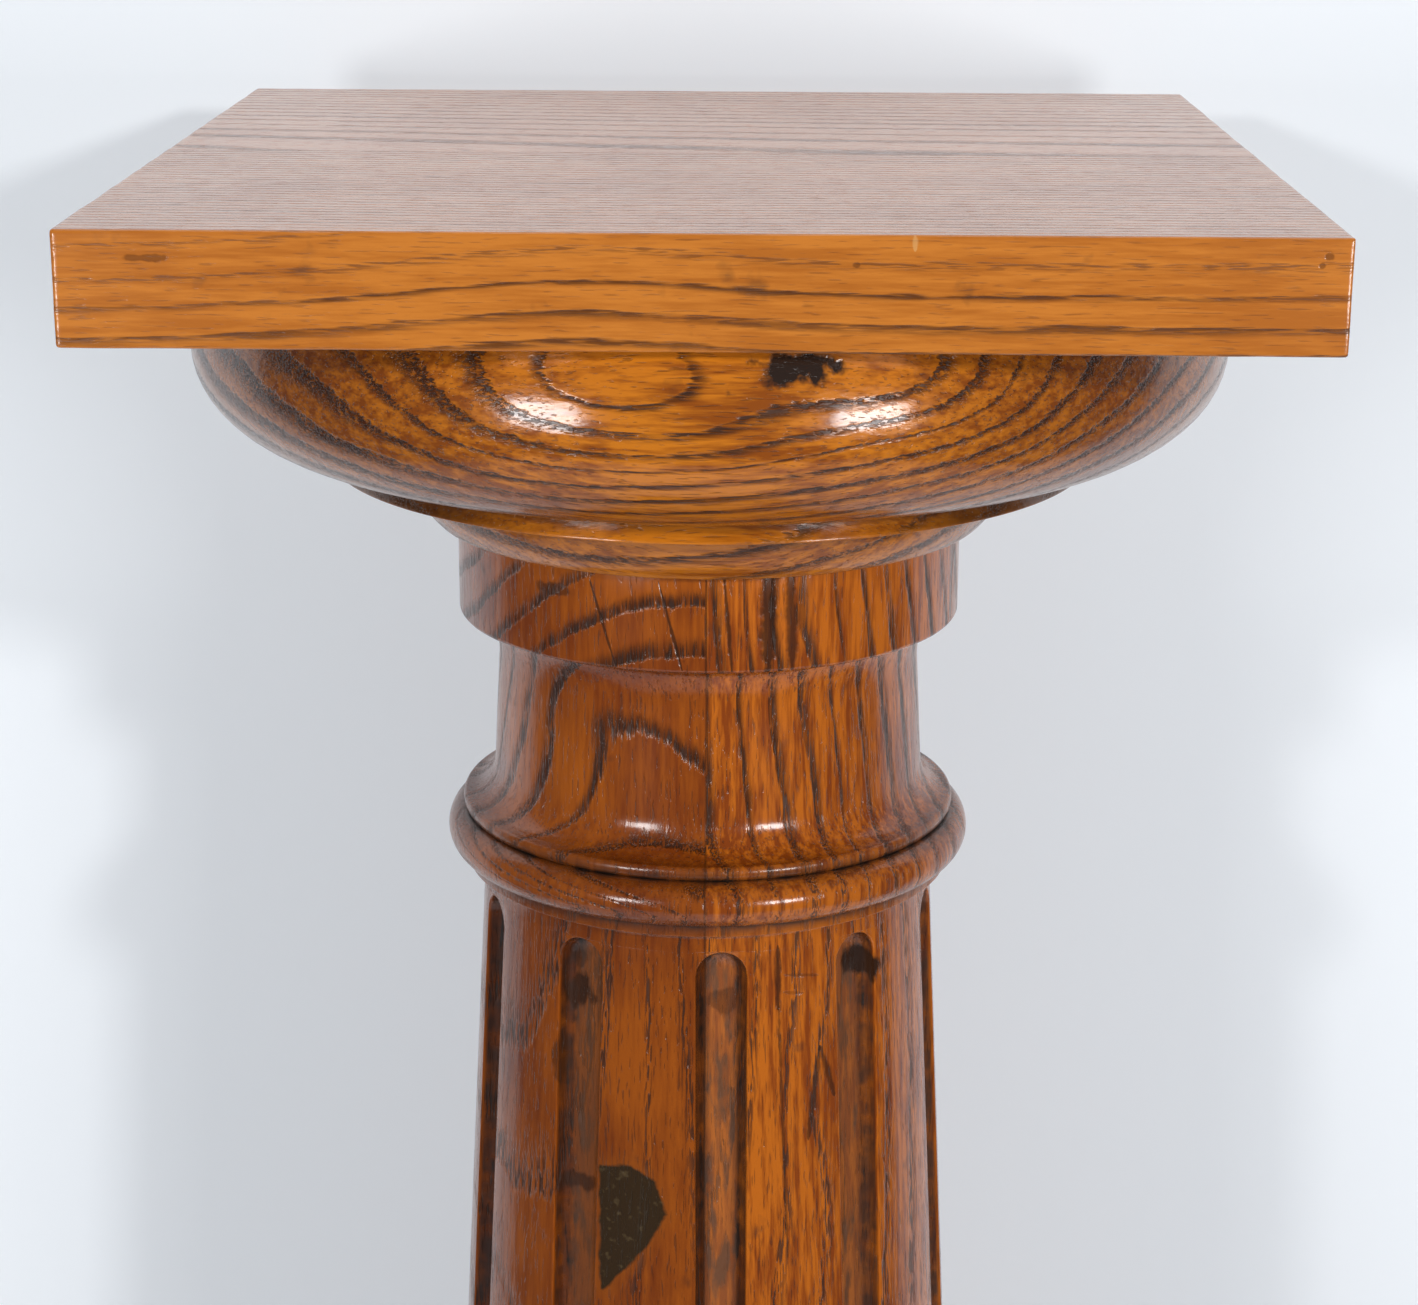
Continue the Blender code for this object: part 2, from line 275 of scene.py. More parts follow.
def capital_outline():
    outline = Outline(BOWL_RADIUS - BOWL_SHOULDER)
    outline.curve(BOWL_RADIUS, BOWL_SHOULDER_HEIGHT, BOWL_SHOULDER_ARC)
    outline.curve(BOWL_EDGE_RADIUS, BOWL_DEPTH, BOWL_ARC)
    outline.straight(BAND_RADIUS - BAND_COVE, BOWL_EDGE)
    outline.curve(BAND_RADIUS, BAND_COVE_HEIGHT, BAND_ARC)
    outline.straight(BAND_RADIUS, BAND_EDGE)
    outline.straight(OVOLO_TOP_RADIUS, 0.0)
    outline.curve(OVOLO_FOOT_RADIUS, OVOLO_HEIGHT, OVOLO_ARC)
    outline.close()
    return outline


def base_outline():
    outline = Outline(BASE_TOP_RADIUS)
    outline.straight(BASE_TOP_RADIUS, BASE_TOP_HEIGHT)
    outline.straight(SCOTIA_TOP_RADIUS, 0.0)
    outline.curve(SCOTIA_FOOT_RADIUS, SCOTIA_HEIGHT, HOLLOW_OUT)
    outline.straight(BASE_FILLET_RADIUS, 0.0)
    outline.straight(BASE_FILLET_RADIUS, BASE_FILLET_HEIGHT)
    outline.curve(TORUS_RADIUS, TORUS_HEIGHT / 2, ROUND_OVER)
    outline.curve(BASE_FOOT_RADIUS, TORUS_HEIGHT / 2, ROUND_UNDER)
    outline.straight(BASE_FOOT_RADIUS, BASE_FOOT_HEIGHT)
    outline.close()
    return outline


# Softening of the turned corners, how far wear reaches from them, and how far dirt with painted shade reaches
# from their hollows
CORNER_EASING = 0.0006
CORNER_TURN = math.radians(24)
CORNER_STEPS = 4
ROW_SPACING = 0.0072
FLAT_ROWS = 6
DIRT_AND_SHADE_REACH = 0.0028
WEAR_REACH = 0.0012
# Easing of the arrises of the board and the plinth, the share by which they are worn back further in
# places, and the spacing of their points
BOARD_EASING = 0.0006
PLINTH_EASING = 0.0020
CHIPPING = 0.8
BLOCK_SPACING = 0.006


def bend_at(before, here, after):
    """Angle by which the outline turns at a point, positive in a hollow corner."""
    first = np.subtract(here, before)
    second = np.subtract(after, here)
    cross = first[0] * second[1] - first[1] * second[0]
    return math.atan2(cross, float(first @ second))


def softened(points):
    """The outline with its corners rounded, and the places of its hollow and of its proud corners."""
    rounded = [points[0]]
    hollows, arrises = [], []
    for before, here, after in zip(points, points[1:], points[2:]):
        bend = bend_at(before, here, after)
        if abs(bend) < CORNER_TURN:
            rounded.append(here)
            continue
        (hollows if bend > 0 else arrises).append(here)
        reach = [math.dist(here, end) for end in (before, after)]
        cut = min(CORNER_EASING, 0.45 * min(reach))
        start, end = (
            np.add(here, np.subtract(side, here) * cut / far) for side, far in zip((before, after), reach)
        )
        for step in range(CORNER_STEPS + 1):
            t = step / CORNER_STEPS
            point = (1 - t) ** 2 * start + 2 * t * (1 - t) * np.array(here) + t * t * end
            rounded.append(tuple(float(value) for value in point))
    rounded.append(points[-1])
    return rounded, hollows, arrises


def with_rows(points):
    """The outline with points added along its long straights."""
    rows = [points[0]]
    for start, end in zip(points, points[1:]):
        parts = max(1, math.ceil(math.dist(start, end) / ROW_SPACING))
        if 0.0 in (start[0], end[0]):
            parts = min(parts, FLAT_ROWS)
        for part in range(1, parts + 1):
            share = part / parts
            rows.append(tuple(a + (b - a) * share for a, b in zip(start, end)))
    return rows


def nearness(point, corners, reach):
    """1 at a corner, falling off with the distance to the nearest one."""
    if not corners:
        return 0.0
    return math.exp(-min(math.dist(point, corner) for corner in corners) / reach)


def linked(name, data):
    """An object of this data, linked to the scene."""
    thing = bpy.data.objects.new(name, data)
    bpy.context.scene.collection.objects.link(thing)
    return thing


class Tree:
    """Adds nodes to one node tree, linked to what they are given."""

    def __init__(self, tree):
        self.tree = tree

    def plug(self, socket, value):
        if isinstance(value, bpy.types.NodeSocket):
            self.tree.links.new(value, socket)
        else:
            socket.default_value = value

    def node(self, kind, inputs=None, **settings):
        made = self.tree.nodes.new(kind)
        for name, value in settings.items():
            setattr(made, name, value)
        for name, value in (inputs or {}).items():
            self.plug(made.inputs[name], value)
        return made

    def math(self, operation, *values, clamp=False):
        inputs = dict(enumerate(values))
        return self.node("ShaderNodeMath", inputs, operation=operation, use_clamp=clamp).outputs[0]

    def plus(self, first, second, clamp=False):
        return self.math("ADD", first, second, clamp=clamp)

    def minus(self, first, second):
        return self.math("SUBTRACT", first, second)

    def times(self, first, second, clamp=False):
        return self.math("MULTIPLY", first, second, clamp=clamp)

    def over(self, first, second, clamp=False):
        return self.math("DIVIDE", first, second, clamp=clamp)

    def larger(self, first, second):
        return self.math("MAXIMUM", first, second)

    def smaller(self, first, second):
        return self.math("MINIMUM", first, second)

    def vector(self, operation, *values):
        made = self.node("ShaderNodeVectorMath", dict(enumerate(values)), operation=operation)
        return made.outputs["Value" if operation in ("LENGTH", "DOT_PRODUCT", "DISTANCE") else 0]

    def scaled(self, vector, factor):
        made = self.node("ShaderNodeVectorMath", {0: vector, "Scale": factor}, operation="SCALE")
        return made.outputs[0]

    def parts(self, vector):
        return self.node("ShaderNodeSeparateXYZ", {0: vector}).outputs

    def joined(self, x, y, z):
        return self.node("ShaderNodeCombineXYZ", {0: x, 1: y, 2: z}).outputs[0]

    def ramp(self, value, low, high, start=0.0, end=1.0, smooth=False):
        inputs = {"Value": value, "From Min": low, "From Max": high, "To Min": start, "To Max": end}
        kind = "SMOOTHSTEP" if smooth else "LINEAR"
        return self.node("ShaderNodeMapRange", inputs, interpolation_type=kind).outputs["Result"]


def new_tree(name, kind, inputs, outputs):
    """A node group with these named sockets. Returns its writer, its inputs and its output node."""
    group = bpy.data.node_groups.new(name, kind)
    for label, socket, value in inputs:
        made = group.interface.new_socket(label, in_out="INPUT", socket_type=socket)
        if value is not None:
            made.default_value = value
    for label, socket in outputs:
        group.interface.new_socket(label, in_out="OUTPUT", socket_type=socket)
    entry = group.nodes.new("NodeGroupInput")
    leave = group.nodes.new("NodeGroupOutput")
    return Tree(group), entry.outputs, leave


FLOAT = "NodeSocketFloat"
COLOUR = "NodeSocketColor"
VECTOR = "NodeSocketVector"


def lathe_tree():
    """Spins an outline round the Z axis and cuts round-ended flutes into it."""
    tree, given, leave = new_tree(
        "turned and fluted",
        "GeometryNodeTree",
        [
            ("Outline", "NodeSocketGeometry", None),
            ("Columns", "NodeSocketInt", FLUTE_STEPS * FLUTE_COUNT),
            ("Flutes", "NodeSocketInt", FLUTE_COUNT),
            ("Half Width", FLOAT, FLUTE_WIDTH / 2),
            ("Depth", FLOAT, FLUTE_DEPTH),
            ("Lip", FLOAT, FLUTE_LIP),
            ("Turn", FLOAT, FLUTE_TURN - math.pi / 2),
            ("Upper Nose", FLOAT, 0.0),
            ("Lower Nose", FLOAT, 0.0),
            ("Unevenness", FLOAT, 0.0001),
            ("Finish", "NodeSocketMaterial", None),
        ],
        [("Turned", "NodeSocketGeometry")],
    )
    math_, plus, minus, times, over = tree.math, tree.plus, tree.minus, tree.times, tree.over
    larger, smaller = tree.larger, tree.smaller
    rows = tree.node("GeometryNodeAttributeDomainSize", {"Geometry": given["Outline"]}).outputs["Point Count"]
    across = plus(given["Columns"], 1)
    grid = tree.node("GeometryNodeMeshGrid", {"Vertices X": across, "Vertices Y": rows}).outputs["Mesh"]
    index = tree.node("GeometryNodeInputIndex").outputs[0]
    column = math_("FLOOR", over(plus(index, 0.5), rows))
    row = minus(index, times(column, rows))

    def sampled(value, kind):
        inputs = {"Geometry": given["Outline"], "Value": value, "Index": row}
        return tree.node("GeometryNodeSampleIndex", inputs, data_type=kind).outputs["Value"]

    place = tree.parts(sampled(tree.node("GeometryNodeInputPosition").outputs[0], "FLOAT_VECTOR"))
    radius, height = place["X"], place["Z"]

    # Place within one pitch, from -1 to 1, with the flute in the middle
    pitch = over(given["Columns"], given["Flutes"])
    turns = over(column, pitch)
    flute = math_("ROUND", turns)
    side = times(minus(turns, flute), 2)
    reach = math_("ABSOLUTE", side)
    safe_radius = larger(radius, 1e-5)
    half_pitch = over(times(safe_radius, math.pi), given["Flutes"])

    # Distance past the centre of the nearer nose, and the flute's half width there
    width = given["Half Width"]
    above = minus(height, given["Upper Nose"])
    below = minus(given["Lower Nose"], height)
    past = larger(larger(above, below), 0.0)
    share = over(past, width)
    open_part = larger(minus(1, times(share, share)), 0.0)
    half = larger(times(width, math_("SQRT", open_part)), 0.0002)
    half = smaller(half, times(half_pitch, 0.8))

    # Columns crowd towards the walls of a flute
    inner, outer = HOLLOW_STEPS / FLUTE_STEPS, LIP_STEPS / FLUTE_STEPS
    in_flute = math_("SINE", tree.ramp(reach, 0.0, inner, 0.0, math.pi / 2))
    in_lip = tree.ramp(reach, inner, outer)
    on_land = tree.ramp(reach, outer, 1.0)
    land = minus(minus(half_pitch, half), given["Lip"])
    arc_length = times(in_flute, half)
    arc_length = plus(arc_length, times(in_lip, given["Lip"]))
    arc_length = plus(arc_length, times(on_land, land))
    even = times(reach, half_pitch)
    away = tree.ramp(past, plus(width, given["Lip"]), plus(width, EVEN_AGAIN))
    away = larger(away, math_("LESS_THAN", given["Depth"], 1e-6))
    spread = plus(arc_length, times(away, minus(even, arc_length)))
    offset = over(times(spread, math_("SIGN", side)), safe_radius)
    step = over(math.tau, given["Flutes"])
    bearing = plus(times(flute, step), plus(offset, given["Turn"]))

    # Depth of the cut, a full hollow with a small rounded lip
    from_middle = math_("SQRT", plus(math_("POWER", spread, 2), math_("POWER", past, 2)))
    hollow = math_("POWER", smaller(over(from_middle, width), 1.0), FLUTE_ROUNDNESS)
    hollow = math_("POWER", minus(1, hollow), 1 / FLUTE_ROUNDNESS)
    floor = times(minus(given["Depth"], given["Lip"]), hollow)
    rim = minus(plus(width, given["Lip"]), from_middle)
    rim = smaller(larger(rim, 0.0), given["Lip"])
    rim = minus(math_("POWER", given["Lip"], 2), math_("POWER", rim, 2))
    rim = minus(given["Lip"], math_("SQRT", larger(rim, 0.0)))
    depth = plus(floor, rim)
    depth = times(depth, math_("GREATER_THAN", given["Depth"], 1e-6))

    # The hand of the turner: a very slight unevenness
    eastern = math_("COSINE", bearing)
    northern = math_("SINE", bearing)
    waves = tree.joined(times(eastern, radius), times(northern, radius), height)
    rough = noise_at(tree, waves, 38.0, 1.0)
    rough = times(minus(rough, 0.5), given["Unevenness"])
    cut = larger(minus(plus(radius, rough), depth), 0.0)
    cut = times(cut, math_("GREATER_THAN", radius, 1e-6))
    spun = tree.joined(times(eastern, cut), times(northern, cut), height)
    shape = tree.node("GeometryNodeSetPosition", {"Geometry": grid, "Position": spun}).outputs[0]

    share_cut = over(depth, larger(given["Depth"], 1e-6))
    marks = {"flute": share_cut}
    for name in ("dirt_and_shade", "wear"):
        named = tree.node("GeometryNodeInputNamedAttribute", {"Name": name}, data_type="FLOAT")
        marks[name] = sampled(named.outputs["Attribute"], "FLOAT")
    for name, value in marks.items():
        inputs = {"Geometry": shape, "Name": name, "Value": value}
        kept = tree.node("GeometryNodeStoreNamedAttribute", inputs, data_type="FLOAT", domain="POINT")
        shape = kept.outputs["Geometry"]
    shape = tree.node("GeometryNodeFlipFaces", {"Mesh": shape}).outputs[0]
    shape = tree.node("GeometryNodeMergeByDistance", {"Geometry": shape, "Distance": 1e-5}).outputs[0]
    shape = tree.node("GeometryNodeSetShadeSmooth", {"Geometry": shape}).outputs[0]
    shape = tree.node("GeometryNodeRealizeInstances", {"Geometry": shape}).outputs[0]
    shape = tree.node("GeometryNodeSetMaterial", {"Geometry": shape, "Material": given["Finish"]}).outputs[0]
    tree.plug(leave.inputs["Turned"], shape)
    return tree.tree


def outline_object(name, points, top):
    """The softened outline as a mesh of loose points, with its wear and with its dirt and painted shade in
    the hollows.
    """
    rounded, hollows, arrises = softened(points)
    rows = with_rows(rounded)
    mesh = bpy.data.meshes.new(name)
    mesh.from_pydata([(radius, 0.0, top + height) for radius, height in rows], [], [])
    for mark, corners, reach in (("dirt_and_shade", hollows, DIRT_AND_SHADE_REACH), ("wear", arrises, WEAR_REACH)):
        attribute = mesh.attributes.new(mark, "FLOAT", "POINT")
        attribute.data.foreach_set("value", [nearness(row, corners, reach) for row in rows])
    return linked(name, mesh)


def as_mesh(source, name):
    """A plain mesh object of what a modifier makes, in place of its source."""
    evaluated = source.evaluated_get(bpy.context.evaluated_depsgraph_get())
    mesh = bpy.data.meshes.new_from_object(evaluated)
    bpy.data.objects.remove(source)
    mesh.name = name
    return linked(name, mesh)


def turned(name, lathe, outline, top, finish, **sizes):
    """A turned piece, made by the lathe tree with these sizes."""
    source = outline_object(name + "_outline", outline.points, top)
    modifier = source.modifiers.new("lathe", "NODES")
    modifier.node_group = lathe
    sizes["Finish"] = finish
    for item in lathe.interface.items_tree:
        if item.item_type == "SOCKET" and item.in_out == "INPUT" and item.name in sizes:
            modifier[item.identifier] = sizes[item.name]
    return as_mesh(source, name)


def eased_block(name, low, high, easing, finish):
    """A square block with worn arrises, as fine as its shading needs."""
    low, high = Vector(low), Vector(high)
    middle, half = (low + high) / 2, (high - low) / 2
    stations = []
    for axis in range(3):
        inner = [easing * share for share in (0.0, 0.2, 0.5, 1.0, 2.0)]
        steps = max(2, round(2 * half[axis] / BLOCK_SPACING))
        body = np.linspace(-half[axis] + 3 * easing, half[axis] - 3 * easing, steps)
        lower = [-half[axis] + step for step in inner]
        stations.append(lower + list(body) + [-value for value in reversed(lower)])
    model = bmesh.new()
    made = {}

    def corner(spot):
        if spot not in made:
            made[spot] = model.verts.new([stations[axis][spot[axis]] for axis in range(3)])
        return made[spot]

    for axis in range(3):
        one, two = (axis + 1) % 3, (axis + 2) % 3
        for end in (0, len(stations[axis]) - 1):
            for i in range(len(stations[one]) - 1):
                for j in range(len(stations[two]) - 1):
                    corners = []
                    for di, dj in ((0, 0), (1, 0), (1, 1), (0, 1)):
                        spot = [0, 0, 0]
                        spot[axis], spot[one], spot[two] = end, i + di, j + dj
                        corners.append(corner(tuple(spot)))
                    model.faces.new(corners)
    worn_edges = {}
    for number, vert in enumerate(model.verts):
        worn = 0.5 + 0.9 * noise.noise(vert.co * 55.0) + 0.5 * noise.noise(vert.co * 210.0)
        reach = easing * (1 + CHIPPING * min(max(worn, 0.0), 1.0))
        core = Vector([min(max(vert.co[axis], reach - half[axis]), half[axis] - reach) for axis in range(3)])
        out = vert.co - core
        edges = sum(abs(value) > 1e-9 for value in out)
        inset = sorted(half[axis] - abs(vert.co[axis]) for axis in range(3))
        worn_edges[number] = math.exp(-inset[1] / (WEAR_REACH + easing)) * min(max(worn, 0.0), 1.0)
        if edges > 1:
            vert.co = core + out.normalized() * reach
        vert.co += middle
    bmesh.ops.recalc_face_normals(model, faces=model.faces)
    mesh = bpy.data.meshes.new(name)
    model.to_mesh(mesh)
    model.free()
    attribute = mesh.attributes.new("wear", "FLOAT", "POINT")
    attribute.data.foreach_set("value", [worn_edges[number] for number in range(len(mesh.vertices))])
    mesh.shade_smooth()
    mesh.materials.append(finish)
    return linked(name, mesh)


# Fibres per metre along each axis, for grain that runs along X or along Z
GRAIN_ALONG_X = (45.0, 620.0, 620.0)
GRAIN_ALONG_Z = (620.0, 620.0, 45.0)

# Colours of the waxed oak
AMBER = (0.52, 0.160, 0.009, 1.0)
RUSSET = (0.24, 0.058, 0.004, 1.0)
RED_AMBER = (0.48, 0.122, 0.007, 1.0)
RED_RUSSET = (0.22, 0.043, 0.003, 1.0)
HONEY = (0.52, 0.173, 0.023, 1.0)
BISCUIT = (0.39, 0.116, 0.013, 1.0)
BROWN_BAND = (0.070, 0.018, 0.003, 1.0)
TAN_BAND = (0.085, 0.025, 0.005, 1.0)
DARK_PORE_AND_SHADE = (0.030, 0.010, 0.003, 1.0)
GRIME_AND_SHADE = (0.022, 0.012, 0.008, 1.0)
KNOT_FILLING = (0.026, 0.015, 0.005, 1.0)
KNOT_GLINT = (0.16, 0.11, 0.05, 1.0)
BARE_WOOD = (0.60, 0.33, 0.12, 1.0)
SIDE_PAINTED_SHADE = (0.42, 0.38, 0.36, 1.0)
LEFT_SHADE = (0.50, 0.42, 0.38, 1.0)
FLUTE_FLOOR = (0.36, 0.135, 0.050, 1.0)

# Height of the bump between the bottom of a pore and the top of the wood
BUMP_HEIGHT = 0.0003


def noise_at(tree, vector, scale, detail=2.0):
    """Smooth noise from 0 to 1."""
    inputs = {"Vector": vector, "Scale": scale, "Detail": detail}
    return tree.node("ShaderNodeTexNoise", inputs).outputs["Fac"]


def blended(tree, factor, first, second, how="MIX"):
    """Two colours mixed by a factor."""
    inputs = {0: factor, 6: first, 7: second}
    return tree.node("ShaderNodeMix", inputs, data_type="RGBA", blend_type=how).outputs[2]


def between(tree, factor, first, second):
    """Two values mixed by a factor."""
    return tree.node("ShaderNodeMix", {0: factor, 2: first, 3: second}, data_type="FLOAT").outputs[0]


def ring_field_group():
    """Number of the growth ring at a place: slopes and gentle curves about a middle point."""
    tree, given, leave = new_tree(
        "ring field",
        "ShaderNodeTree",
        [
            ("Place", VECTOR, None),
            ("Middle", VECTOR, None),
            ("Start", FLOAT, 0.0),
            ("Slope", VECTOR, None),
            ("Curve", VECTOR, None),
            ("Lean", FLOAT, 0.0),
        ],
        [("Rings", FLOAT)],
    )
    # In decimetres from the middle
    local = tree.scaled(tree.vector("SUBTRACT", given["Place"], given["Middle"]), 10.0)
    rings = tree.plus(tree.vector("DOT_PRODUCT", local, given["Slope"]), given["Start"])
    square = tree.vector("MULTIPLY", local, local)
    rings = tree.plus(rings, tree.vector("DOT_PRODUCT", square, given["Curve"]))
    parts = tree.parts(local)
    leaning = tree.times(tree.times(parts["X"], parts["Z"]), given["Lean"])
    tree.plug(leave.inputs["Rings"], tree.plus(rings, leaning))
    return tree.tree


def bulge_group():
    """A smooth rise round one place, seen from the front."""
    tree, given, leave = new_tree(
        "bulge",
        "ShaderNodeTree",
        [
            ("Place", VECTOR, None),
            ("Middle", VECTOR, None),
            ("Reach", VECTOR, (0.02, 1.0, 0.02)),
            ("Rise", FLOAT, 1.0),
        ],
        [("Rise", FLOAT)],
    )
    local = tree.vector("DIVIDE", tree.vector("SUBTRACT", given["Place"], given["Middle"]), given["Reach"])
    fall = tree.times(tree.vector("DOT_PRODUCT", local, local), -1.0)
    tree.plug(leave.inputs["Rise"], tree.times(tree.math("EXPONENT", fall), given["Rise"]))
    return tree.tree


def check_group():
    """A thin crack from one place to another, tapering to nothing at both ends."""
    tree, given, leave = new_tree(
        "check",
        "ShaderNodeTree",
        [
            ("Place", VECTOR, None),
            ("From", VECTOR, None),
            ("To", VECTOR, None),
            ("Width", FLOAT, 0.0005),
        ],
        [("Mask", FLOAT)],
    )
    run = tree.vector("SUBTRACT", given["To"], given["From"])
    local = tree.vector("SUBTRACT", given["Place"], given["From"])
    length = tree.vector("DOT_PRODUCT", run, run)
    along = tree.over(tree.vector("DOT_PRODUCT", local, run), length, clamp=True)
    distance = tree.vector("DISTANCE", local, tree.scaled(run, along))
    unsteady = tree.minus(noise_at(tree, given["Place"], 320.0), 0.5)
    distance = tree.plus(distance, tree.times(unsteady, given["Width"]))
    from_end = tree.times(tree.times(along, tree.minus(1.0, along)), 4.0)
    width = tree.times(given["Width"], tree.math("SQRT", from_end))
    inside = tree.ramp(distance, tree.times(width, 0.4), width, 1.0, 0.0)
    tree.plug(leave.inputs["Mask"], tree.times(inside, tree.math("GREATER_THAN", from_end, 0.001)))
    return tree.tree


def oak_group():
    """Waxed oak: dark early-wood bands with open pores, streaked late wood, grime with painted shade, and
    pale worn edges that are partly a painted highlight.
    """
    tree, given, leave = new_tree(
        "oak",
        "ShaderNodeTree",
        [
            ("Place", VECTOR, None),
            ("Rings", FLOAT, 0.0),
            ("Grain", VECTOR, GRAIN_ALONG_Z),
            ("Wander", FLOAT, 0.25),
            ("Jag", FLOAT, 0.26),
            ("Streak", FLOAT, 0.8),
            ("Band", FLOAT, 0.40),
            ("Band Depth", FLOAT, 1.0),
            ("Pores", FLOAT, 1.0),
            ("Land", COLOUR, AMBER),
            ("Land Dark", COLOUR, RUSSET),
            ("Band Colour", COLOUR, BROWN_BAND),
            ("Pore Colour", COLOUR, DARK_PORE_AND_SHADE),
            ("Grime", FLOAT, 0.0),
            ("Worn", FLOAT, 0.0),
        ],
        [("Color", COLOUR), ("Roughness", FLOAT), ("Height", FLOAT)],
    )
    fibre = tree.vector("MULTIPLY", given["Place"], given["Grain"])

    def centred(scale, size, detail=2.0):
        return tree.times(tree.minus(noise_at(tree, fibre, scale, detail), 0.5), size)

    # Growth rings, each with its own width of dark band
    ring = tree.plus(given["Rings"], tree.times(centred(0.12, 2.0), given["Wander"]))
    ring = tree.plus(ring, tree.times(centred(1.5, 1.0), given["Jag"]))
    share = tree.math("FRACT", ring)
    number = tree.math("FLOOR", ring)
    chance = tree.node("ShaderNodeTexWhiteNoise", {"W": number}, noise_dimensions="1D").outputs[0]
    width = tree.times(given["Band"], tree.ramp(chance, 0.0, 1.0, 0.65, 1.35))
    opened = tree.ramp(share, 0.0, 0.08, smooth=True)
    closed = tree.ramp(share, tree.times(width, 0.3), width, 1.0, 0.0, smooth=True)
    band = tree.times(opened, closed)

    # Open pores: crowded in the bands, few between them
    vessel = noise_at(tree, fibre, 3.0, 1.0)
    crowded = tree.times(tree.ramp(vessel, 0.46, 0.58, smooth=True), band)
    few = tree.times(tree.ramp(vessel, 0.61, 0.70, smooth=True), 0.55)
    pores = tree.times(tree.larger(crowded, few), given["Pores"], clamp=True)

    # Late wood, streaked along the grain and clouded by age
    streak = noise_at(tree, fibre, 0.8, 4.0)
    cloud = noise_at(tree, given["Place"], 21.0, 3.0)
    streaks = tree.plus(centred(2.4, 1.9, 3.0), tree.ramp(streak, 0.3, 0.7, -0.8, 0.8))
    dark = tree.times(streaks, given["Streak"])
    dark = tree.plus(dark, tree.ramp(cloud, 0.25, 0.75, -0.15, 0.95))
    dark = tree.plus(dark, tree.ramp(share, 0.55, 1.0, 0.0, 0.18), clamp=True)
    colour = blended(tree, dark, given["Land"], given["Land Dark"])
    fill = tree.times(band, given["Band Depth"])
    patchy = tree.ramp(noise_at(tree, fibre, 0.35, 2.0), 0.30, 0.55, 0.5, 1.0)
    dashed = tree.ramp(noise_at(tree, fibre, 1.7, 2.0), 0.36, 0.50, 0.35, 1.0)
    fill = tree.times(fill, tree.times(patchy, dashed))
    colour = blended(tree, fill, colour, given["Band Colour"])
    colour = blended(tree, tree.times(pores, 0.85), colour, given["Pore Colour"])

    # Grime and painted shade in the hollows, and old spots, then pale wood where an edge is rubbed, which on
    # the flute lips is also a painted highlight
    dust_and_shade = noise_at(tree, given["Place"], 160.0, 4.0)
    grime_and_shade = tree.times(given["Grime"], tree.ramp(dust_and_shade, 0.30, 0.60, 0.6, 1.3), clamp=True)
    spots = tree.times(tree.ramp(noise_at(tree, given["Place"], 95.0, 3.0), 0.66, 0.76), 0.35)
    grime_and_shade = tree.larger(grime_and_shade, spots)
    colour = blended(tree, grime_and_shade, colour, GRIME_AND_SHADE)
    rubbed_and_highlit = tree.times(given["Worn"], tree.ramp(dust_and_shade, 0.35, 0.6, 0.2, 0.7))
    colour = blended(tree, rubbed_and_highlit, colour, given["Land"])

    rough = tree.plus(tree.times(pores, 0.20), tree.times(grime_and_shade, 0.20))
    rough = tree.plus(rough, tree.ramp(cloud, 0.3, 0.7, 0.13, 0.19))
    height = tree.times(pores, -1.0)
    height = tree.plus(height, tree.times(band, -0.35))
    height = tree.plus(height, tree.times(streak, 0.5))
    tree.plug(leave.inputs["Color"], colour)
    tree.plug(leave.inputs["Roughness"], rough)
    tree.plug(leave.inputs["Height"], height)
    return tree.tree


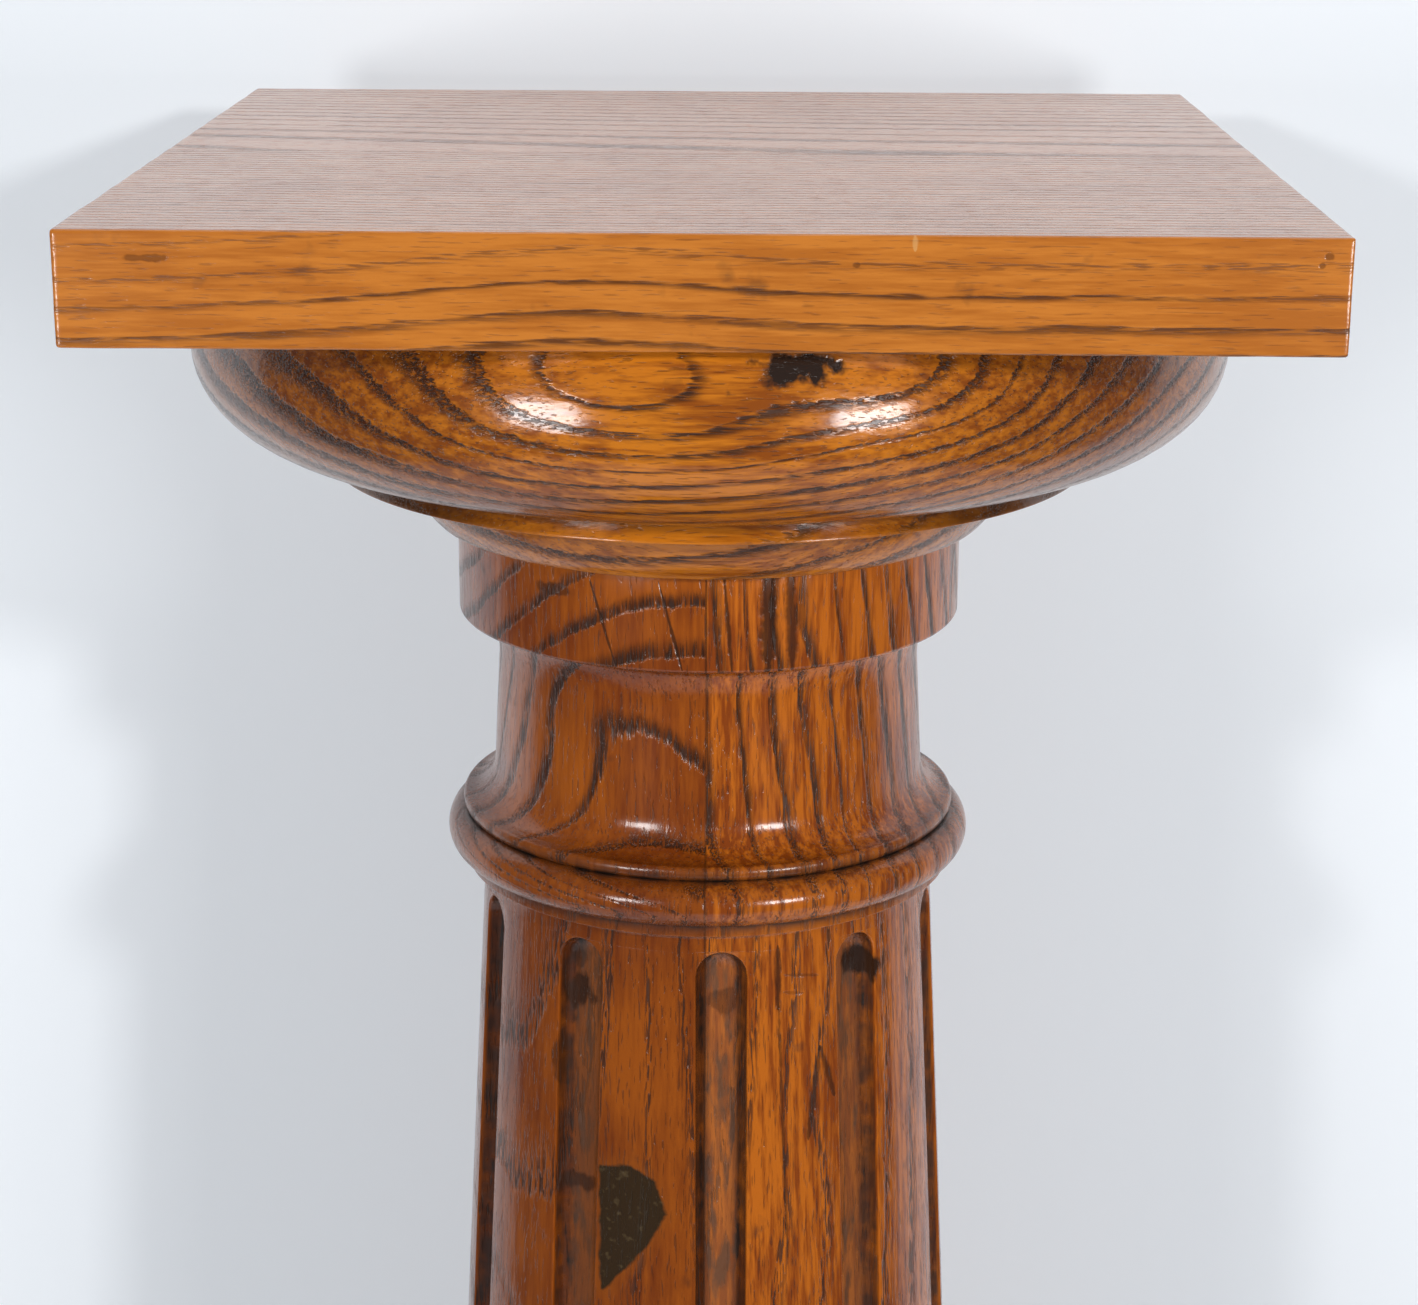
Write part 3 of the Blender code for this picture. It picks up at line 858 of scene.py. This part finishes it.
class OakMaterial:
    """One oak material: its growth rings, then the marks laid over it, one after another."""

    def __init__(self, name, groups):
        self.material = bpy.data.materials.new(name)
        self.material.use_nodes = True
        self.tree = Tree(self.material.node_tree)
        self.shader = self.material.node_tree.nodes["Principled BSDF"]
        self.groups = groups
        self.place = self.tree.node("ShaderNodeTexCoord").outputs["Object"]
        self.axes = self.tree.parts(self.place)

    def placed(self, group, **inputs):
        """A shared effect, placed in this material with its own values. Returns its outputs."""
        made = self.tree.node("ShaderNodeGroup", node_tree=self.groups[group])
        self.tree.plug(made.inputs["Place"], self.place)
        for name, value in inputs.items():
            self.tree.plug(made.inputs[name.replace("_", " ")], value)
        return made.outputs

    def attribute(self, name):
        return self.tree.node("ShaderNodeAttribute", attribute_name=name).outputs["Fac"]

    def rings(self, middle, start, slope, curve=(0.0, 0.0, 0.0), lean=0.0, bulges=()):
        """The growth rings of one board: an even field with bulges, each a middle, a reach and a rise."""
        total = self.placed("ring field", Middle=middle, Start=start, Slope=slope, Curve=curve, Lean=lean)[0]
        for (x, z), (across, up), rise in bulges:
            bulge = self.placed("bulge", Middle=(x, 0.0, z), Reach=(across, 1.0, up), Rise=rise)[0]
            total = self.tree.plus(total, bulge)
        return total

    def grow(self, rings, grain, worn=None, **looks):
        """The wood itself, paler on its worn edges, which on the shaft's flute lips also stand for a painted
        highlight.
        """
        if worn is None:
            worn = self.attribute("wear")
        outputs = self.placed("oak", Rings=rings, Grain=grain, Worn=worn, **looks)
        self.colour, self.rough, self.height = (outputs[name] for name in ("Color", "Roughness", "Height"))

    def tint(self, mask, colour, how="MULTIPLY"):
        self.colour = blended(self.tree, mask, self.colour, colour, how)

    def mark(self, mask, colour, strength=1.0, sink=0.0):
        """A knot, a crack, a stain, a nick or a patch of painted shade, sunk by this share of the bump
        height.
        """
        mask = self.tree.times(mask, strength)
        self.colour = blended(self.tree, mask, self.colour, colour)
        self.height = self.tree.minus(self.height, self.tree.times(mask, sink))

    def spot(self, x, z, across, up, front_at, stretch=(260.0, 260.0, 120.0)):
        """Mask of a ragged spot round a place on the front, reaching this far across and up."""
        rise = self.placed("bulge", Middle=(x, front_at, z), Reach=(across, 1.0, up), Rise=1.0)[0]
        stretched = self.tree.vector("MULTIPLY", self.place, stretch)
        ragged = self.tree.minus(noise_at(self.tree, stretched, 1.0, 3.0), 0.5)
        front = self.tree.ramp(self.axes["Y"], -0.004, 0.0, 1.0, 0.0)
        rise = self.tree.plus(rise, self.tree.times(ragged, 1.5))
        return self.tree.times(self.tree.ramp(rise, 0.35, 0.70, smooth=True), front)

    def crack(self, start, end, width):
        return self.placed("check", From=start, To=end, Width=width)[0]

    def step(self, axis, place, blur=0.0004):
        """0 below this place on an axis, 1 above it."""
        return self.tree.ramp(self.axes[axis], place - blur / 2, place + blur / 2)

    def seam(self, axis, place, width):
        """Mask of a glue joint across an axis."""
        far = self.tree.math("ABSOLUTE", self.tree.minus(self.axes[axis], place))
        return self.tree.ramp(far, width * 0.3, width, 1.0, 0.0)

    def done(self, coat=0.2, coat_roughness=0.08, strength=0.6):
        plug = self.tree.plug
        bump = self.tree.node("ShaderNodeBump", {"Height": self.height, "Strength": strength})
        bump.inputs["Distance"].default_value = BUMP_HEIGHT
        plug(self.shader.inputs["Base Color"], self.colour)
        plug(self.shader.inputs["Roughness"], self.rough)
        plug(self.shader.inputs["Normal"], bump.outputs[0])
        self.shader.inputs["Coat Weight"].default_value = coat
        self.shader.inputs["Coat Roughness"].default_value = coat_roughness
        return self.material


# Where the growth rings of the capital and of the front staves bulge: middle (x, z), reach (across, up)
# and rise in rings
CAPITAL_BULGES = (
    ((-0.021, 1.018), (0.026, 0.014), -1.85),
    ((0.023, 1.018), (0.026, 0.014), 0.59),
    ((0.042, 1.0175), (0.030, 0.014), -2.57),
    ((-0.048, 1.008), (0.026, 0.014), -1.10),
    ((0.072, 1.0065), (0.030, 0.014), -1.11),
    ((0.0, 1.005), (0.030, 0.014), -1.57),
    ((0.043, 0.997), (0.040, 0.014), -0.73),
    ((-0.033, 0.994), (0.040, 0.014), -0.79),
)
LEFT_STAVE_BULGES = (
    ((-0.018, 0.8915), (0.016, 0.014), -0.23),
    ((-0.028, 0.928), (0.016, 0.012), 0.49),
    ((-0.012, 0.9405), (0.016, 0.012), 0.80),
    ((-0.0345, 0.906), (0.016, 0.014), -0.69),
)
RIGHT_STAVE_BULGES = (
    ((0.023, 0.934), (0.012, 0.016), 0.53),
    ((0.033, 0.794), (0.010, 0.022), 0.62),
    ((0.023, 0.9025), (0.012, 0.016), 0.22),
)

# Height below which the shaft's growth lines straighten, over what height and by what share
STRAIGHT_BELOW = 0.69
STRAIGHT_BLUR = 0.08
STRAIGHTNESS = 0.88
# Heights and glue joints at which the wood of a piece changes
UNDER_ASTRAGAL = 0.857
ASTRAGAL_TOP = 0.865
UNDER_COLLAR = 0.9203
MIDDLE_JOINT = 0.0005
BACK_JOINT = 0.012
BOARD_JOINT = -0.0075
PLINTH_JOINT = 0.018
# Foot and top of the recessed band under the bowl, darkened there by painted shade away from the front
BAND_LOW = 0.9652
BAND_HIGH = 0.9745

# Marks on the bowl and on the board's front: a spot is x, z, its reach across and up
BOWL_KNOT = (0.0227, 1.0170, 0.0115, 0.0048)
BOWL_CRACK = ((0.0565, -0.095, 0.985), (0.0545, -0.093, 0.9785), 0.0006)
BOARD_DENTS = (
    (0.0360, 1.0430, 0.0012, 0.0009),
    (0.1440, 1.0457, 0.0010, 0.0008),
    (0.1425, 1.0436, 0.0009, 0.0009),
    (-0.1280, 1.0435, 0.0060, 0.0010),
)
BOARD_NICK = ((0.0492, -0.15, 1.0503), (0.0493, -0.15, 1.0462), 0.0008)

# Stains on the shaft: x, z, reach across and up, and strength
STAINS = (
    (-0.0355, 0.7620, 0.0060, 0.0035, 0.7),
    (-0.0354, 0.8200, 0.0045, 0.0060, 0.9),
    (-0.0405, 0.8000, 0.0030, 0.0100, 0.6),
    (0.0444, 0.8275, 0.0055, 0.0065, 1.0),
    (0.0055, 0.8214, 0.0060, 0.0040, 0.5),
    (-0.0355, 0.8300, 0.0030, 0.0040, 0.6),
    (-0.0400, 0.9400, 0.0060, 0.0020, 0.6),
)
# Cracks and dark streaks on the collar and below the astragal: both ends, width and strength
CRACKS = (
    ((-0.0309, -0.0647, 0.9446), (-0.0237, -0.0677, 0.9207), 0.0006, 0.8),
    ((-0.0123, -0.0706, 0.9456), (-0.0057, -0.0715, 0.9203), 0.0006, 0.8),
    ((0.0168, -0.0697, 0.9500), (0.0172, -0.0696, 0.9190), 0.0030, 0.85),
    ((0.0228, -0.0680, 0.9500), (0.0236, -0.0677, 0.9190), 0.0022, 0.75),
    ((0.0050, -0.0715, 0.9490), (0.0075, -0.0713, 0.9200), 0.0008, 0.8),
    ((0.0685, -0.0210, 0.9490), (0.0685, -0.0210, 0.9195), 0.0012, 0.9),
    ((0.0206, -0.0624, 0.8390), (0.0208, -0.0633, 0.8200), 0.0012, 0.75),
    ((0.0208, -0.0633, 0.8280), (0.0245, -0.0664, 0.7440), 0.0007, 0.6),
    ((0.0221, -0.0624, 0.8301), (0.0322, -0.0579, 0.8284), 0.0008, 0.4),
    ((0.0222, -0.0627, 0.8250), (0.0281, -0.0603, 0.8239), 0.0007, 0.35),
    ((0.0328, -0.0590, 0.8075), (0.0373, -0.0572, 0.7910), 0.0014, 0.7),
    ((0.0328, -0.0590, 0.8075), (0.0298, -0.0622, 0.7795), 0.0014, 0.7),
)
# Corners of the filled knot on the land between the left and the centre flute, from its top left
KNOT_CORNERS = (
    (-0.0292, 0.7717),
    (-0.0204, 0.7734),
    (-0.0133, 0.7692),
    (-0.0099, 0.7596),
    (-0.0170, 0.7474),
    (-0.0283, 0.7335),
    (-0.0292, 0.7335),
)


def capital_oak(groups):
    made = OakMaterial("capital oak", groups)
    rings = made.rings(
        middle=(0.0, 0.0, 1.0), start=11.31, slope=(1.17, 0.655, -9.77), curve=(-0.64, -2.77, -0.21),
        lean=-0.64, bulges=CAPITAL_BULGES,
    )
    tree = made.tree
    wide = tree.ramp(made.axes["X"], -0.11, -0.04, 0.75, 0.42)
    # Painted shade: the dirt and shade of the hollows grows darker away from the front, where the crevices
    # lie in shade
    shade_off_front = tree.ramp(made.axes["Y"], -0.085, -0.055, 0.5, 2.4)
    dust_and_shade = tree.times(made.attribute("dirt_and_shade"), shade_off_front)
    made.grow(rings, GRAIN_ALONG_X, Wander=0.20, Band=wide, Grime=dust_and_shade)
    # Painted shade: the sides are darker than the front, the recessed band under the bowl most of all, as if
    # in shade
    sideways = tree.math("ABSOLUTE", made.axes["X"])
    made.tint(tree.ramp(sideways, 0.045, 0.105, 0.0, 0.6), SIDE_PAINTED_SHADE)
    in_band = tree.minus(made.step("Z", BAND_LOW), made.step("Z", BAND_HIGH))
    shaded = tree.times(in_band, tree.ramp(made.axes["Y"], -0.099, -0.084))
    made.mark(shaded, DARK_PORE_AND_SHADE, 0.72)
    made.mark(made.spot(*BOWL_KNOT, front_at=-0.12, stretch=(210.0, 210.0, 210.0)), GRIME_AND_SHADE, 1.0, 1.0)
    made.mark(made.crack(*BOWL_CRACK), DARK_PORE_AND_SHADE, 0.9, 2.0)
    return made.done()


def shaft_oak(groups):
    made = OakMaterial("shaft oak", groups)
    tree = made.tree
    # The growth lines lean as they do at the top, and below it run nearly straight down
    place = made.place
    eased = tree.math("SMOOTH_MAX", made.axes["Z"], STRAIGHT_BELOW, STRAIGHT_BLUR)
    height = between(tree, STRAIGHTNESS, made.axes["Z"], eased)
    made.place = tree.joined(made.axes["X"], made.axes["Y"], height)
    upper_left = made.rings(
        middle=(0.0, 0.0, 0.9), start=5.915, slope=(2.17, 5.53, 2.675), curve=(3.165, -2.89, -1.04),
        lean=-0.03, bulges=LEFT_STAVE_BULGES,
    )
    collar_left = made.rings(
        middle=(-0.0201, 0.0, 0.9356), start=7.0, slope=(-2.6, 0.0, 7.1), curve=(8.1, 0.0, 0.0),
    )
    lower_left = made.rings(
        middle=(-0.03, 0.0, 0.8), start=0.91, slope=(-7.2, -1.4, 1.0), curve=(-5.3, 1.1, -0.4),
        lean=-5.7,
    )
    right = made.rings(
        middle=(0.0, 0.0, 0.9), start=2.52, slope=(8.30, 2.93, 0.28), curve=(3.05, -1.57, 0.68),
        lean=2.7, bulges=RIGHT_STAVE_BULGES,
    )
    back = made.rings(
        middle=(0.01, 0.0, 0.6), start=3.3, slope=(6.5, 4.0, 0.35), curve=(1.5, 2.0, 0.10), lean=0.6,
    )
    made.place = place
    to_right = made.step("X", MIDDLE_JOINT)
    to_back = made.step("Y", BACK_JOINT)
    rings = between(tree, made.step("Z", UNDER_ASTRAGAL, 0.010), lower_left, upper_left)
    rings = between(tree, made.step("Z", UNDER_COLLAR), rings, collar_left)
    rings = between(tree, to_right, rings, right)
    rings = between(tree, to_back, rings, back)
    cut = made.attribute("flute")
    # Painted shade: the flute walls are darkened as if in shade, and with the stains and the hollows' dirt
    # and shade this is laid on as grime
    wall = tree.times(tree.ramp(cut, 0.06, 0.20), tree.ramp(cut, 0.75, 1.0, 0.66, 0.10))
    lengthwise = tree.vector("MULTIPLY", made.place, (330.0, 330.0, 60.0))
    streaky = tree.ramp(noise_at(tree, lengthwise, 1.0, 4.0), 0.47, 0.62)
    stain = tree.times(streaky, tree.ramp(cut, 0.2, 0.6, 0.0, 0.9))
    # Pale flute lips, partly wear and partly a painted highlight along their edges
    lip = tree.times(tree.ramp(cut, 0.0, 0.02), tree.ramp(cut, 0.03, 0.10, 1.0, 0.0))
    grime_and_shade = tree.larger(made.attribute("dirt_and_shade"), tree.larger(wall, stain))
    made.grow(
        rings, GRAIN_ALONG_Z, Wander=0.16, Jag=0.14, Streak=between(tree, to_right, 0.35, 1.0),
        Band=0.38, Band_Depth=made.step("Z", ASTRAGAL_TOP, 0.03), Land=RED_AMBER, Land_Dark=RED_RUSSET,
        Grime=grime_and_shade, worn=tree.larger(made.attribute("wear"), lip),
    )
    # The left staves are browner, below the astragal most of all
    to_left = tree.minus(1.0, to_right)
    browner = tree.times(to_left, tree.ramp(made.axes["Z"], 0.845, 0.860, 0.72, 0.45))
    made.tint(browner, LEFT_SHADE)
    made.tint(tree.ramp(cut, 0.75, 0.98, 0.0, 0.35), FLUTE_FLOOR, "MIX")
    for axis, joint in (("X", MIDDLE_JOINT), ("Y", BACK_JOINT)):
        made.mark(made.seam(axis, joint, 0.0005), DARK_PORE_AND_SHADE, 0.55, 0.5)
    add_knot(made)
    return made.done(strength=0.7)


def add_knot(made):
    """The filled knot and the marks near it."""
    tree = made.tree
    ragged = tree.minus(noise_at(tree, made.place, 160.0, 3.0), 0.5)
    spot = tree.joined(made.axes["X"], made.axes["Z"], 0.0)
    sides = []
    for (x, z), (next_x, next_z) in zip(KNOT_CORNERS, KNOT_CORNERS[1:] + KNOT_CORNERS[:1]):
        run = Vector((next_x - x, next_z - z, 0.0)).normalized()
        outward = Vector((-run.y, run.x, 0.0))
        reach = outward.dot(Vector((x, z, 0.0)))
        past = tree.minus(tree.vector("DOT_PRODUCT", spot, tuple(outward)), reach)
        sides.append(tree.plus(past, tree.times(ragged, 0.0030)))
    outside = sides[0]
    for side in sides[1:]:
        outside = tree.larger(outside, side)
    front = tree.ramp(made.axes["Y"], -0.010, 0.0, 1.0, 0.0)
    filled = tree.times(tree.ramp(outside, -0.0004, 0.0004, 1.0, 0.0), front)
    halo = tree.times(tree.ramp(outside, 0.0, 0.004, 1.0, 0.0), front)
    made.mark(halo, RUSSET, 0.55)
    made.mark(filled, KNOT_FILLING, 0.97, 0.2)
    glints = tree.ramp(noise_at(tree, made.place, 420.0, 3.0), 0.60, 0.72, 0.0, 0.35)
    made.mark(tree.times(filled, glints), KNOT_GLINT)
    for x, z, across, up, strength in STAINS:
        made.mark(made.spot(x, z, across, up, front_at=-0.05), DARK_PORE_AND_SHADE, strength, 0.3)
    for start, end, width, strength in CRACKS:
        made.mark(made.crack(start, end, width), DARK_PORE_AND_SHADE, strength, 0.8)


def base_oak(groups):
    made = OakMaterial("base oak", groups)
    rings = made.rings(
        middle=(0.0, 0.0, 0.1), start=7.4, slope=(0.8, 0.9, -9.0), curve=(-0.5, -1.9, -0.3), lean=-0.4,
    )
    made.grow(rings, GRAIN_ALONG_X, Wander=0.24, Band=0.40, Grime=made.attribute("dirt_and_shade"))
    return made.done()


def board_oak(groups):
    made = OakMaterial("board oak", groups)
    tree = made.tree
    front = made.rings(
        middle=(0.0, -0.15, 1.05), start=-0.87, slope=(0.22, 24.0, -11.97), curve=(-0.09, 0.0, 6.64),
        bulges=(((-0.03, 1.03), (0.045, 1.0), 0.64),),
    )
    back = made.rings(
        middle=(0.0, 0.05, 1.04), start=3.4, slope=(0.5, 8.0, 14.0), curve=(-0.12, 5.0, 0.0),
    )
    rings = between(tree, made.step("Y", BOARD_JOINT), front, back)
    depth = tree.ramp(rings, 0.55, 0.95, 0.1, 0.9)
    made.grow(
        rings, GRAIN_ALONG_X, Wander=0.06, Jag=0.30, Band=0.36, Band_Depth=depth, Pores=0.7, Land=HONEY,
        Land_Dark=BISCUIT, Band_Colour=TAN_BAND, Pore_Colour=BROWN_BAND,
    )
    made.mark(made.seam("Y", BOARD_JOINT, 0.0006), BROWN_BAND, 0.7, 1.0)
    for dent in BOARD_DENTS:
        made.mark(made.spot(*dent, front_at=-0.15), BROWN_BAND, 0.55, 0.5)
    made.mark(made.crack(*BOARD_NICK), BARE_WOOD, 0.6)
    return made.done(coat=0.15, coat_roughness=0.25)


def plinth_oak(groups):
    made = OakMaterial("plinth oak", groups)
    rings = made.rings(
        middle=(0.0, 0.0, 0.04), start=5.2, slope=(0.6, 4.5, -7.0), curve=(-0.3, 3.0, 0.5), lean=-0.3,
    )
    made.grow(rings, GRAIN_ALONG_X, Wander=0.26, Band=0.42)
    made.mark(made.seam("Y", PLINTH_JOINT, 0.0006), DARK_PORE_AND_SHADE, 0.6, 1.0)
    return made.done()


def dress_column():
    lathe = lathe_tree()
    groups = {
        "ring field": ring_field_group(),
        "bulge": bulge_group(),
        "check": check_group(),
        "oak": oak_group(),
    }
    tops = {node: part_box(node)[1].z for node in ("capital", "shaft", "base_moulding")}
    shaft, taper_start = shaft_outline()
    taper_top = tops["shaft"] - taper_start
    noses = {
        "Upper Nose": taper_top - FLUTE_TOP_MARGIN - FLUTE_WIDTH / 2,
        "Lower Nose": taper_top - TAPER_LENGTH + FLUTE_FOOT_MARGIN + FLUTE_WIDTH / 2,
    }
    plain = {"Flutes": 1, "Depth": 0.0}
    pieces = {}
    for node, name, outline, finish, sizes in (
        ("capital", "bowl_capital", capital_outline(), capital_oak(groups), {"Columns": 288, **plain}),
        ("shaft", "fluted_shaft", shaft, shaft_oak(groups), noses),
        ("base_moulding", "turned_base", base_outline(), base_oak(groups), {"Columns": 256, **plain}),
    ):
        pieces[node] = turned(name, lathe, outline, tops[node], finish, **sizes)
    for node, name, easing, finish in (
        ("top_plate", "square_board", BOARD_EASING, board_oak(groups)),
        ("plinth", "square_plinth", PLINTH_EASING, plinth_oak(groups)),
    ):
        pieces[node] = eased_block(name, *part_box(node), easing, finish)
    for node, piece in pieces.items():
        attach(piece, "root")
        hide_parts(node)


def paper(name, glow):
    """Pale backdrop paper with this much glow of its own, clear when seen from behind."""
    material = bpy.data.materials.new(name)
    material.use_nodes = True
    shader = material.node_tree.nodes["Principled BSDF"]
    shader.inputs["Base Color"].default_value = PAPER
    shader.inputs["Roughness"].default_value = 0.9
    shader.inputs["Emission Color"].default_value = PAPER_GLOW
    shader.inputs["Emission Strength"].default_value = glow
    tree = Tree(material.node_tree)
    behind = tree.node("ShaderNodeNewGeometry").outputs["Backfacing"]
    clear = tree.node("ShaderNodeBsdfTransparent").outputs[0]
    shown = tree.node("ShaderNodeMixShader", {0: behind, 1: shader.outputs[0], 2: clear}).outputs[0]
    tree.plug(material.node_tree.nodes["Material Output"].inputs["Surface"], shown)
    return material


def add_stage():
    """A pale floor and a pale wall behind."""
    foot = [(-STAGE_REACH, WALL_PLACE, 0.0), (STAGE_REACH, WALL_PLACE, 0.0)]
    front = [(-STAGE_REACH, FLOOR_FRONT, 0.0), (STAGE_REACH, FLOOR_FRONT, 0.0)]
    head = [(-STAGE_REACH, WALL_PLACE, WALL_HEIGHT), (STAGE_REACH, WALL_PLACE, WALL_HEIGHT)]
    for name, glow, near, far in (("floor", 0.0, front, foot), ("wall", WALL_GLOW, foot, head)):
        mesh = bpy.data.meshes.new(name)
        mesh.from_pydata(near + far[::-1], [], [(0, 1, 2, 3)])
        mesh.materials.append(paper(name + " paper", glow))
        linked(name, mesh)


def add_light(name, azimuth, elevation, size, power, distance=LAMP_DISTANCE, mirrored=True):
    """A soft light on a rectangle, looking at the lit place. It may be kept out of the reflections."""
    light = bpy.data.lights.new(name, "AREA")
    light.shape = "RECTANGLE"
    light.size, light.size_y = size
    light.energy = power
    lamp = linked(name, light)
    turn, lift = math.radians(azimuth), math.radians(elevation)
    back = Vector((math.sin(turn) * math.cos(lift), -math.cos(turn) * math.cos(lift), math.sin(lift)))
    lamp.visible_camera = False
    lamp.visible_glossy = mirrored
    lamp.location = Vector(LIT_PLACE) + back * distance
    lamp.rotation_euler = (-back).to_track_quat("-Z", "Y").to_euler()


def add_lights():
    add_light("left softbox", LEFT_AZIMUTH, SOFTBOX_LIFT, SOFTBOX_SIZE, 5.8)
    add_light("right softbox", RIGHT_AZIMUTH, SOFTBOX_LIFT, SOFTBOX_SIZE, 6.4)
    add_light("left key", LEFT_AZIMUTH, KEY_LIFT, KEY_SIZE, 5.5, mirrored=False)
    add_light("right key", RIGHT_AZIMUTH, KEY_LIFT, KEY_SIZE, 8.0, mirrored=False)
    add_light("ceiling light", 0, 89, (1.0, 1.0), 6.0, distance=1.3)
    world = bpy.data.worlds.new("room")
    world.use_nodes = True
    background = world.node_tree.nodes["Background"]
    background.inputs["Color"].default_value = ROOM
    # A pale room to look at, but dim in the wax, as the unlit side of a studio is
    tree = Tree(world.node_tree)
    looked_at = tree.node("ShaderNodeLightPath").outputs["Is Camera Ray"]
    tree.plug(background.inputs["Strength"], tree.ramp(looked_at, 0.0, 1.0, ROOM_LIGHT, ROOM_SEEN))
    bpy.context.scene.world = world


def add_camera():
    forward = Vector((
        math.sin(CAMERA_YAW) * math.cos(CAMERA_PITCH),
        math.cos(CAMERA_YAW) * math.cos(CAMERA_PITCH),
        -math.sin(CAMERA_PITCH),
    ))
    right = Vector((math.cos(CAMERA_YAW), -math.sin(CAMERA_YAW), 0.0))
    level = Matrix((right, right.cross(forward), -forward)).transposed()
    data = bpy.data.cameras.new("camera")
    data.lens = CAMERA_LENS
    data.sensor_width = SENSOR_WIDTH
    camera = linked("camera", data)
    turned_level = level @ Matrix.Rotation(CAMERA_ROLL, 3, "Z")
    camera.matrix_world = Matrix.Translation(CAMERA_PLACE) @ turned_level.to_4x4()
    bpy.context.scene.camera = camera


add_camera()
add_stage()
add_lights()
dress_column()
bpy.context.scene.view_settings.view_transform = "Standard"
